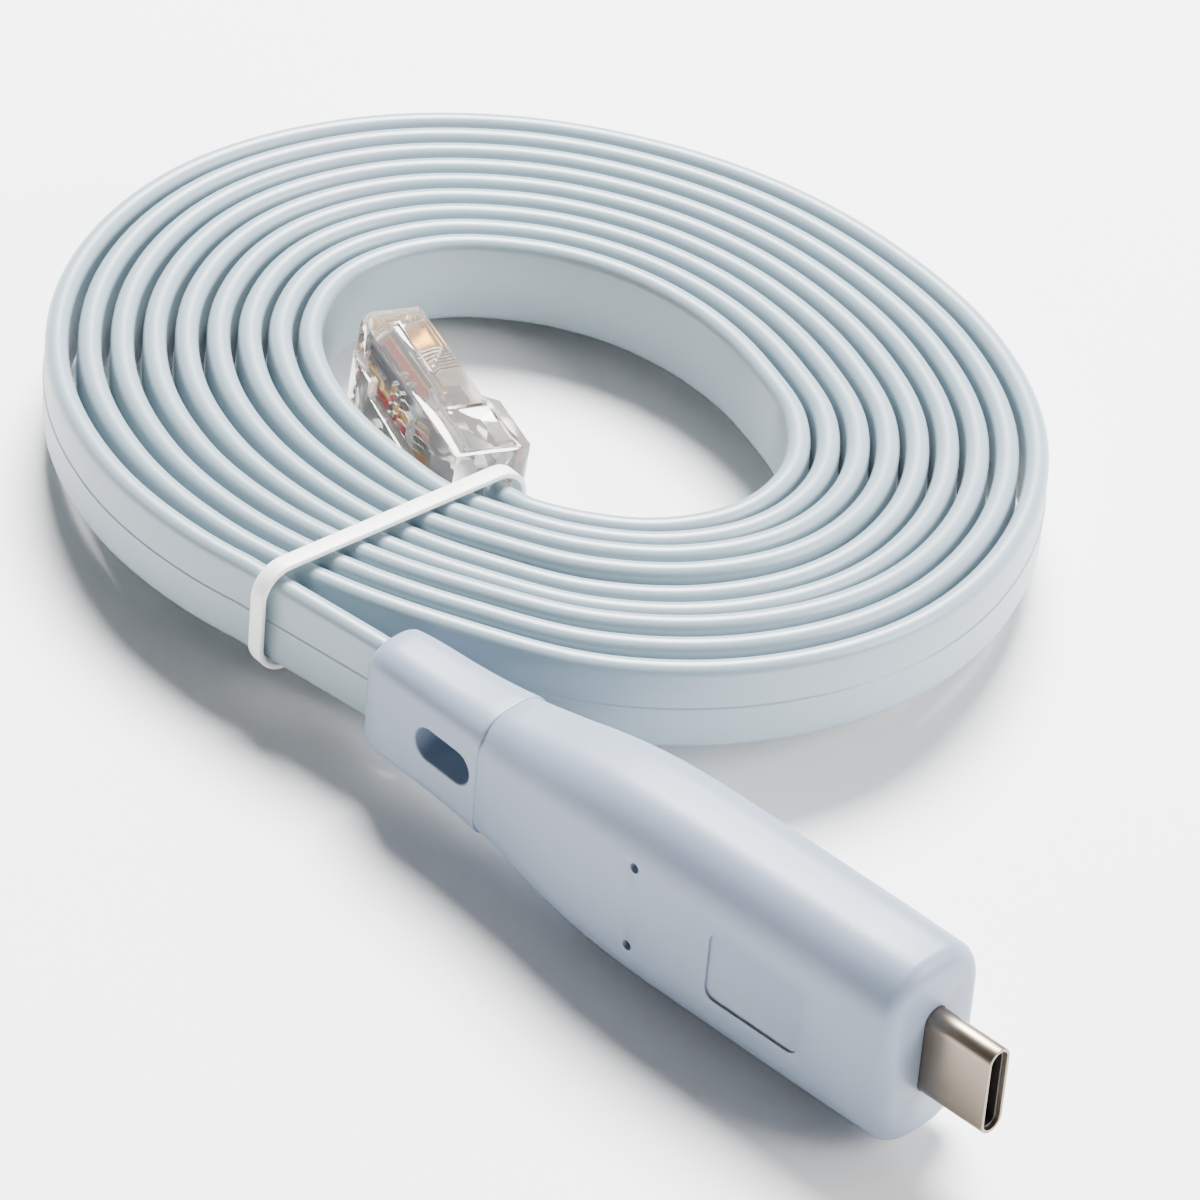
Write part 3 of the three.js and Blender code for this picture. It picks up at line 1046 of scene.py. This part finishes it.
@dataclass
class UsbPlug:
    """The USB-C plug in the adapter's nose, drawn along X."""

    width: float = 8.25
    height: float = 2.4
    wall: float = 0.3
    reach: float = 6.65
    base: float = 61.4
    sunk: float = 0.9
    shell_depth: float = 5.5
    liner_depth: float = 5.4
    liner_setback: float = 0.35
    liner_wall: float = 0.22
    mouth_depth: float = 4.4
    spring_from: float = 4.6
    spring_to: float = 1.2
    spring_width: float = 0.24
    spring_pitch: float = 0.5
    springs: int = 12
    spring_low: float = 0.36
    spring_high: float = 0.46
    spring_bow: float = 0.12

    def build_shell(self, finish: bpy.types.Material) -> bpy.types.Object:
        """Model the folded metal shell.

        Args:
            finish: Its material.

        Returns:
            The shell.
        """
        side, up = self.height / 2, self.width / 2
        back = self.base - self.sunk
        tip = self.base + self.reach
        shell = rounded_plate("shell", back, side, up, side - HAIR, 10)
        draw_out(back, tip)
        bpy.ops.mesh.inset(thickness=self.wall)
        draw_out(tip, tip - self.shell_depth)
        done(shell)
        soften(shell, 0.07, 2, 60.0)
        return lay(shell, Lie.ADAPTER, finish, 40.0)

    def build_liner(self, finish: bpy.types.Material) -> bpy.types.Object:
        """Model the black liner with the opening for the socket's tongue.

        Args:
            finish: Its material.

        Returns:
            The liner.
        """
        side = self.height / 2 - self.wall - HAIR
        up = self.width / 2 - self.wall - HAIR
        back = self.base + self.reach - self.liner_depth
        front = self.base + self.reach - self.liner_setback
        liner = rounded_plate("liner", back, side, up, side - HAIR, 8)
        draw_out(back, front)
        bpy.ops.mesh.inset(thickness=self.liner_wall)
        draw_out(front, front - self.mouth_depth)
        done(liner)
        soften(liner, 0.04, 1, 60.0)
        return lay(liner, Lie.ADAPTER, finish)

    def build_springs(self, finish: bpy.types.Material) -> bpy.types.Object:
        """Model the two rows of contact strips inside the mouth.

        Args:
            finish: Their material.

        Returns:
            The strips as one piece.
        """
        back = self.base + self.reach - self.spring_from
        front = self.base + self.reach - self.spring_to
        lowest = -(self.springs - 1) / 2 * self.spring_pitch
        half = self.spring_width / 2
        strips = block(
            "springs",
            (back, self.spring_low, lowest - half),
            (front, self.spring_high, lowest + half),
        )
        pick(strips, "FACE", lambda p: p.x > front - 0.01)
        bpy.ops.transform.translate(value=(0, -self.spring_bow, 0))
        bpy.ops.mesh.select_all(action="SELECT")
        for _ in range(self.springs - 1):
            bpy.ops.mesh.duplicate_move(TRANSFORM_OT_translate={"value": (0, 0, self.spring_pitch)})
        bpy.ops.mesh.select_all(action="SELECT")
        bpy.ops.mesh.duplicate()
        bpy.ops.transform.resize(value=(1, -1, 1), center_override=(0, 0, 0))
        done(strips)
        return lay(strips, Lie.ADAPTER, finish)


# The RJ45 plug


@dataclass
class ModularPlug:
    """The clear RJ45 plug, drawn along X from its rear, its width upwards, contacts on -Y."""

    length: float = 21.46
    width: float = 11.68
    rear_height: float = 6.9
    front_height: float = 5.7
    rear_chamfer: float = 0.5
    step_from: float = 7.0
    step_to: float = 8.0
    nose_length: float = 0.8
    nose_height: float = 1.2
    pocket_length: float = 10.5
    insertion: float = 8.3
    cores: int = 8
    pitch: float = 1.02
    core_diameter: float = 0.9
    core_play: float = 0.2
    core_length: float = 9.4
    core_top: float = 1.1
    contact_thickness: float = 0.32
    contact_length: float = 3.8
    contact_rise: float = 2.0
    contact_play: float = 0.14
    contact_from_front: float = 1.2
    latch_width: float = 6.0
    latch_length: float = 14.0
    latch_thickness: float = 1.0
    latch_root: float = 2.2
    latch_lift: float = 1.7
    latch_sunk: float = 0.2
    latch_nose: float = 0.6
    latch_gap: float = 0.05
    tail_width: float = 3.6
    tail_to: float = 15.5
    bar_at: float = 12.3
    bar_width: float = 1.0
    bar_depth: float = 1.3
    bar_reach: float = 4.4
    bar_rooted: float = 0.2
    bar_sunk: float = 0.2
    recess: float = 0.3
    side_recesses: tuple[tuple[float, float, float, float], ...] = (
        (0.7, 7.0, -2.3, 2.3),
        (9.0, 19.6, 0.5, 1.3),
    )

    def outline_body(
        self,
        name: str,
        points: Iterable[tuple[float, float]],
        width: float,
    ) -> bpy.types.Object:
        """Draw a side outline and extrude it across the plug's width.

        Args:
            name: The piece's name.
            points: X and Y of its corners.
            width: Its width.

        Returns:
            The body.
        """
        corners = list(points)
        bpy.ops.mesh.primitive_circle_add(vertices=len(corners), radius=1.0, fill_type="NGON")
        piece = start(name)
        for vertex, (x, y) in zip(piece.data.vertices, corners):
            vertex.co = (x, y, -width / 2)
        bpy.ops.object.mode_set(mode="EDIT")
        bpy.ops.mesh.select_mode(type="FACE")
        bpy.ops.mesh.select_all(action="SELECT")
        bpy.ops.mesh.extrude_region_move(TRANSFORM_OT_translate={"value": (0, 0, width)})
        return done(piece)

    def across(self, i: int) -> float:
        """Return the place of a conductor or contact across the plug's width."""
        return (i - (self.cores - 1) / 2) * self.pitch

    @property
    def high(self) -> float:
        """Return the face that the lever springs from."""
        return self.rear_height / 2

    @property
    def contact_face(self) -> float:
        """Return the face that the contacts show in."""
        return self.high - self.front_height

    @property
    def core_centre(self) -> float:
        """Return the conductors' place through the plug's height."""
        return self.core_top - self.core_diameter / 2 - self.core_play

    def build_body(self, cable: FlatCable, finish: bpy.types.Material) -> bpy.types.Object:
        """Model the clear body with its lever, the cable's pocket and the contacts' slots.

        The conductors lie bedded in the plastic.

        Args:
            cable: The cable that it holds.
            finish: Its material.

        Returns:
            The body.
        """
        low, high = -self.high, self.high
        body = self.outline_body("plug_body", (
            (0, low + self.rear_chamfer), (self.rear_chamfer, low), (self.step_from, low),
            (self.step_to, self.contact_face), (self.length, self.contact_face),
            (self.length, high - self.nose_height), (self.length - self.nose_length, high), (0, high),
        ), self.width)
        half_width = cable.width / 2 + CLEARANCE
        half_side = cable.thickness / 2 + CLEARANCE
        pocket_end = (self.pocket_length, half_side, half_width)
        cut(body, block("pocket", (-1, -half_side, -half_width), pocket_end))
        well_low = (self.bar_at - self.bar_width, high - self.bar_depth, -self.bar_reach)
        cut(body, block("well", well_low, (self.bar_at + self.bar_width, high + 1, self.bar_reach)))
        half_bar, into = self.bar_width / 2, self.bar_rooted
        bar_low = (self.bar_at - half_bar, high - self.bar_depth - into, -self.bar_reach - into / 2)
        bar_high = (self.bar_at + half_bar, high - self.bar_sunk, self.bar_reach + into / 2)
        cut(body, block("bar", bar_low, bar_high), join=True)
        front = self.length - self.nose_height
        end = front - self.latch_length
        root = front - self.latch_root
        face = high - self.latch_sunk
        thickness = self.latch_thickness
        lever = self.outline_body("lever", (
            (front, face), (front, face + self.latch_nose), (front - thickness, face + thickness),
            (end, face + self.latch_lift), (end, face + self.latch_lift - thickness),
            (root, high + self.latch_gap), (root, face),
        ), self.latch_width)
        half_tail = self.tail_width / 2
        for low_z, high_z in ((-self.latch_width, -half_tail), (half_tail, self.latch_width)):
            cut(lever, block("tail_side", (0, high, low_z), (self.tail_to, 2 * high, high_z)))
        cut(body, lever, join=True)
        side = self.width / 2 - self.recess
        for x0, x1, y0, y1 in self.side_recesses:
            for face in (-1, 1):
                z0, z1 = sorted((face * side, face * (side + 1)))
                cut(body, block("recess", (x0, y0, z0), (x1, y1, z1)))
        contact_middle = self.length - self.contact_from_front - self.contact_length / 2
        half_length = self.contact_length / 2 + self.contact_play
        half_slot = self.contact_thickness / 2 + self.contact_play
        slot_top = self.contact_face + self.contact_rise + self.contact_play
        for i in range(self.cores):
            z = self.across(i)
            cut(body, block(
                "slot",
                (contact_middle - half_length, self.contact_face - 1, z - half_slot),
                (contact_middle + half_length, slot_top, z + half_slot),
            ))
        done(body)
        soften(body, 0.12, 2, 40.0)
        return lay(body, Lie.PLUG, finish, 30.0)

    def build_contacts(self, finish: bpy.types.Material) -> list[bpy.types.Object]:
        """Model one contact blade and copy it.

        Args:
            finish: Its material.

        Returns:
            The blades.
        """
        middle = self.length - self.contact_from_front - self.contact_length / 2
        half_length, half_side = self.contact_length / 2, self.contact_thickness / 2
        blade = block(
            "blade",
            (middle - half_length, self.contact_face, -half_side),
            (middle + half_length, self.contact_face + self.contact_rise, half_side),
        )
        soften(blade, 0.08, 2, 40.0)
        return self.row("contact", blade, [finish] * self.cores)

    def build_cores(self, finishes: Sequence[bpy.types.Material]) -> list[bpy.types.Object]:
        """Model one conductor and copy it in each colour.

        Args:
            finishes: Their materials, from the plug's foot upwards.

        Returns:
            The conductors.
        """
        begin = self.insertion + 0.05
        length = self.pocket_length + self.core_length - self.core_play - begin
        middle = (begin + length / 2, self.core_centre, 0)
        core = pin("core", self.core_diameter / 2, length, middle, "X", 20)
        soften(core, 0.06, 1, 40.0)
        return self.row("core", core, finishes)

    def row(
        self,
        name: str,
        first: bpy.types.Object,
        finishes: Sequence[bpy.types.Material],
    ) -> list[bpy.types.Object]:
        """Copy a piece across the plug's width, each copy with its own mesh.

        Args:
            name: The copies' name.
            first: The piece, drawn in the middle; it is used up.
            finishes: A material for each copy.

        Returns:
            The copies.
        """
        pieces = []
        for i, finish in enumerate(finishes):
            piece = first.copy()
            piece.data = first.data.copy()
            piece.name = f"{name}_{i + 1}"
            bpy.context.collection.objects.link(piece)
            piece.data.transform(Matrix.Translation((0, 0, self.across(i))))
            pieces.append(lay(piece, Lie.PLUG, finish, 40.0))
        bpy.data.objects.remove(first, do_unlink=True)
        return pieces


# The studio


@dataclass
class Studio:
    """A pale floor, soft lights and the camera."""

    eye: tuple[float, float, float] = (4.95, -610.6, 448.8)
    elevation: float = 37.1
    roll: float = 4.8
    lens: float = 271.5

    def build_camera(self) -> None:
        """Set the camera up at the photograph's angle."""
        data = bpy.data.cameras.new("camera")
        data.lens = self.lens
        data.sensor_width = 36.0
        data.clip_start = 0.01
        camera = bpy.data.objects.new("camera", data)
        bpy.context.collection.objects.link(camera)
        tilt, roll = math.radians(self.elevation), math.radians(self.roll)
        climb = Vector((0, math.sin(tilt), math.cos(tilt)))
        right = Vector((1, 0, 0)) * math.cos(roll) + climb * math.sin(roll)
        up = Vector((1, 0, 0)) * -math.sin(roll) + climb * math.cos(roll)
        back = right.cross(up)
        turn = turned("X", FRAMES.lean) @ Matrix((right, up, back)).transposed().to_4x4()
        place = FRAMES.on_floor(Lie.COIL) @ Vector(self.eye)
        camera.matrix_world = Matrix.Translation(place) @ turn
        bpy.context.scene.camera = camera

    def build_floor(self) -> None:
        """Lay the pale floor."""
        bpy.ops.mesh.primitive_plane_add(size=6.0)
        floor = start("floor")
        material = bpy.data.materials.new("floor_white_card")
        material.use_nodes = True
        shader = material.node_tree.nodes["Principled BSDF"]
        shader.inputs["Base Color"].default_value = linear("fcfcfc")
        shader.inputs["Roughness"].default_value = 0.8
        floor.data.materials.append(material)

    def build_lights(self) -> None:
        """Hang the soft lights and set the pale surroundings."""
        for name, place, size, power in (
            ("over", (0.05, 0.65, 0.9), 0.6, 82.0),
            ("right", (0.85, -0.2, 0.45), 0.6, 15.0),
            ("left", (-0.8, -0.1, 0.4), 0.6, 0.4),
        ):
            data = bpy.data.lights.new(name, "AREA")
            data.shape = "DISK"
            data.size = size
            data.energy = power
            light = bpy.data.objects.new(name, data)
            bpy.context.collection.objects.link(light)
            light.location = place
            light.rotation_euler = (-Vector(place)).to_track_quat("-Z", "Y").to_euler()
        world = bpy.data.worlds.new("surroundings")
        world.use_nodes = True
        world.node_tree.nodes["Background"].inputs["Color"].default_value = (1, 1, 1, 1)
        world.node_tree.nodes["Background"].inputs["Strength"].default_value = 0.15
        bpy.context.scene.world = world


def main() -> None:
    """Build the object and its studio."""
    logging.basicConfig(level=logging.INFO, format="%(message)s")
    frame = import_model()

    studio = Studio()
    studio.build_camera()

    jacket, overmould = JACKET.make(), OVERMOULD.make()
    cable = FlatCable()
    cord, path = cable.build(jacket)
    keep(cord, "jacket", "cable_coil", "cable_tail", "cable_lead")
    tie = CableTie().build(cable, TIE_STRIP.make())
    keep(tie, "tie", "cable_tie")

    adapter = Adapter()
    keep(adapter.build_boot(overmould), "overmould", "strain_relief_boot")
    keep(adapter.build_housing(overmould), "overmould", "adapter_housing")
    usb = UsbPlug()
    keep(usb.build_shell(NICKEL.make()), "nickel_shell", "usb_c_shell")
    keep(usb.build_liner(LINER.make()), "insulator", "usb_c_insulator")
    gold = GOLD.make()
    keep(usb.build_springs(gold), "gold_contact")

    plug = ModularPlug()
    body = plug.build_body(cable, POLYCARBONATE.make())
    keep(body, "clear_plastic", "rj45_plug_body")
    contacts = plug.build_contacts(gold)
    for i, piece in enumerate(contacts):
        keep(piece, "gold_contact", f"rj45_contact_{i + 1}")
    cores = plug.build_cores([colour.finish() for colour in CoreColour])
    slots = {entry["node"]: entry["material_slot"] for entry in frame["record"]["subparts"]}
    for i, piece in enumerate(cores):
        node = f"conductor_{i + 1}"
        keep(piece, slots[node], node)

    studio.build_floor()
    studio.build_lights()


if __name__ == "__main__":
    main()
